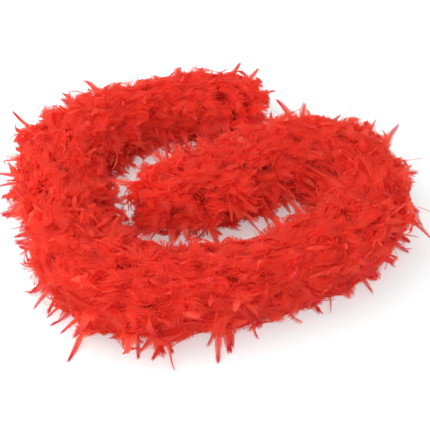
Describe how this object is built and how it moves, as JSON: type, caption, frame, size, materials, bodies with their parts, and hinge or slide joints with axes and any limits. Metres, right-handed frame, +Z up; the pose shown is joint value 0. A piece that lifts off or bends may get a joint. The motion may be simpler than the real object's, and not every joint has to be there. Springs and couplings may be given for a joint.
{
  "type": "feather boa",
  "caption": "Full, soft boa of dyed feathers bound row by row along a limp cotton cord, laid down in an inward spiral.",
  "frame": {"origin": "on the surface that the boa lies on, below the middle of the laid boa's box", "axes": "+Z up; the longer run of the boa, beside the open bottom of the spiral, lies along X on the -Y side, and the inner end points to -X"},
  "size_m": [0.7496, 0.6863, 0.1277],
  "materials": {
    "feathers": "matte",
    "cord": "matte",
    "thread": "satin"
  },
  "bodies": {
    "middle_run": {"core_cord_04": "cord", "quill_binding_04": "thread", "plume_whorl_04": "feathers", "core_cord_05": "cord", "quill_binding_05": "thread", "plume_whorl_05": "feathers", "core_cord_06": "cord", "quill_binding_06": "thread", "plume_whorl_06": "feathers", "core_cord_07": "cord", "quill_binding_07": "thread", "plume_whorl_07": "feathers", "core_cord_08": "cord", "quill_binding_08": "thread", "plume_whorl_08": "feathers", "core_cord_09": "cord", "quill_binding_09": "thread", "plume_whorl_09": "feathers", "core_cord_10": "cord", "quill_binding_10": "thread", "plume_whorl_10": "feathers"},
    "inner_run_1": {"core_cord_03": "cord", "quill_binding_03": "thread", "plume_whorl_03": "feathers"},
    "inner_run_2": {"core_cord_02": "cord", "quill_binding_02": "thread", "plume_whorl_02": "feathers"},
    "inner_end": {"core_cord_01": "cord", "quill_binding_01": "thread", "plume_whorl_01": "feathers", "end_whipping_inner": "thread", "end_knot_inner": "cord"},
    "outer_run_1": {"core_cord_11": "cord", "quill_binding_11": "thread", "plume_whorl_11": "feathers"},
    "outer_run_2": {"core_cord_12": "cord", "quill_binding_12": "thread", "plume_whorl_12": "feathers"},
    "outer_run_3": {"core_cord_13": "cord", "quill_binding_13": "thread", "plume_whorl_13": "feathers"},
    "outer_run_4": {"core_cord_14": "cord", "quill_binding_14": "thread", "plume_whorl_14": "feathers"},
    "outer_run_5": {"core_cord_15": "cord", "quill_binding_15": "thread", "plume_whorl_15": "feathers"},
    "outer_run_6": {"core_cord_16": "cord", "quill_binding_16": "thread", "plume_whorl_16": "feathers"},
    "outer_run_7": {"core_cord_17": "cord", "quill_binding_17": "thread", "plume_whorl_17": "feathers"},
    "outer_end": {"core_cord_18": "cord", "quill_binding_18": "thread", "plume_whorl_18": "feathers", "end_whipping_outer": "thread", "end_knot_outer": "cord"}
  },
  "joints": [
    {"name": "outer_bend_1", "type": "hinge", "parent": "middle_run", "child": "outer_run_1", "pos_m": [-0.12696, -0.24641, 0.06], "axis": [0, 0, 1], "range_deg": [0, 30]},
    {"name": "outer_bend_2", "type": "hinge", "parent": "outer_run_1", "child": "outer_run_2", "pos_m": [-0.21522, -0.19938, 0.06], "axis": [0, 0, 1], "range_deg": [0, 30]},
    {"name": "outer_bend_3", "type": "hinge", "parent": "outer_run_2", "child": "outer_run_3", "pos_m": [-0.26667, -0.11273, 0.06], "axis": [0, 0, 1], "range_deg": [0, 30]},
    {"name": "outer_lift_1", "type": "hinge", "parent": "outer_run_3", "child": "outer_run_4", "pos_m": [-0.28358, -0.01267, 0.06], "axis": [0.9969, 0.079, 0], "range_deg": [0, 25]},
    {"name": "outer_bend_4", "type": "hinge", "parent": "outer_run_4", "child": "outer_run_5", "pos_m": [-0.27343, 0.08783, 0.06], "axis": [0, 0, 1], "range_deg": [0, 30]},
    {"name": "outer_bend_5", "type": "hinge", "parent": "outer_run_5", "child": "outer_run_6", "pos_m": [-0.22218, 0.17437, 0.06], "axis": [0, 0, 1], "range_deg": [0, 30]},
    {"name": "outer_lift_2", "type": "hinge", "parent": "outer_run_6", "child": "outer_run_7", "pos_m": [-0.1383, 0.23041, 0.06], "axis": [0.3873, -0.922, 0], "range_deg": [0, 25]},
    {"name": "outer_lift_3", "type": "hinge", "parent": "outer_run_7", "child": "outer_end", "pos_m": [-0.04032, 0.25597, 0.06], "axis": [0.0976, -0.9952, 0], "range_deg": [0, 25]},
    {"name": "inner_lift_1", "type": "hinge", "parent": "middle_run", "child": "inner_run_1", "pos_m": [0.17984, 0.10012, 0.06], "axis": [-0.1141, 0.9935, 0], "range_deg": [0, 20]},
    {"name": "inner_swing", "type": "hinge", "parent": "inner_run_1", "child": "inner_run_2", "pos_m": [0.08931, 0.05621, 0.06], "axis": [0, 0, 1], "range_deg": [-10, 12]},
    {"name": "inner_lift_2", "type": "hinge", "parent": "inner_run_2", "child": "inner_end", "pos_m": [0.00166, 0.00491, 0.06], "axis": [-0.4209, 0.9071, 0], "range_deg": [0, 25]}
  ]
}
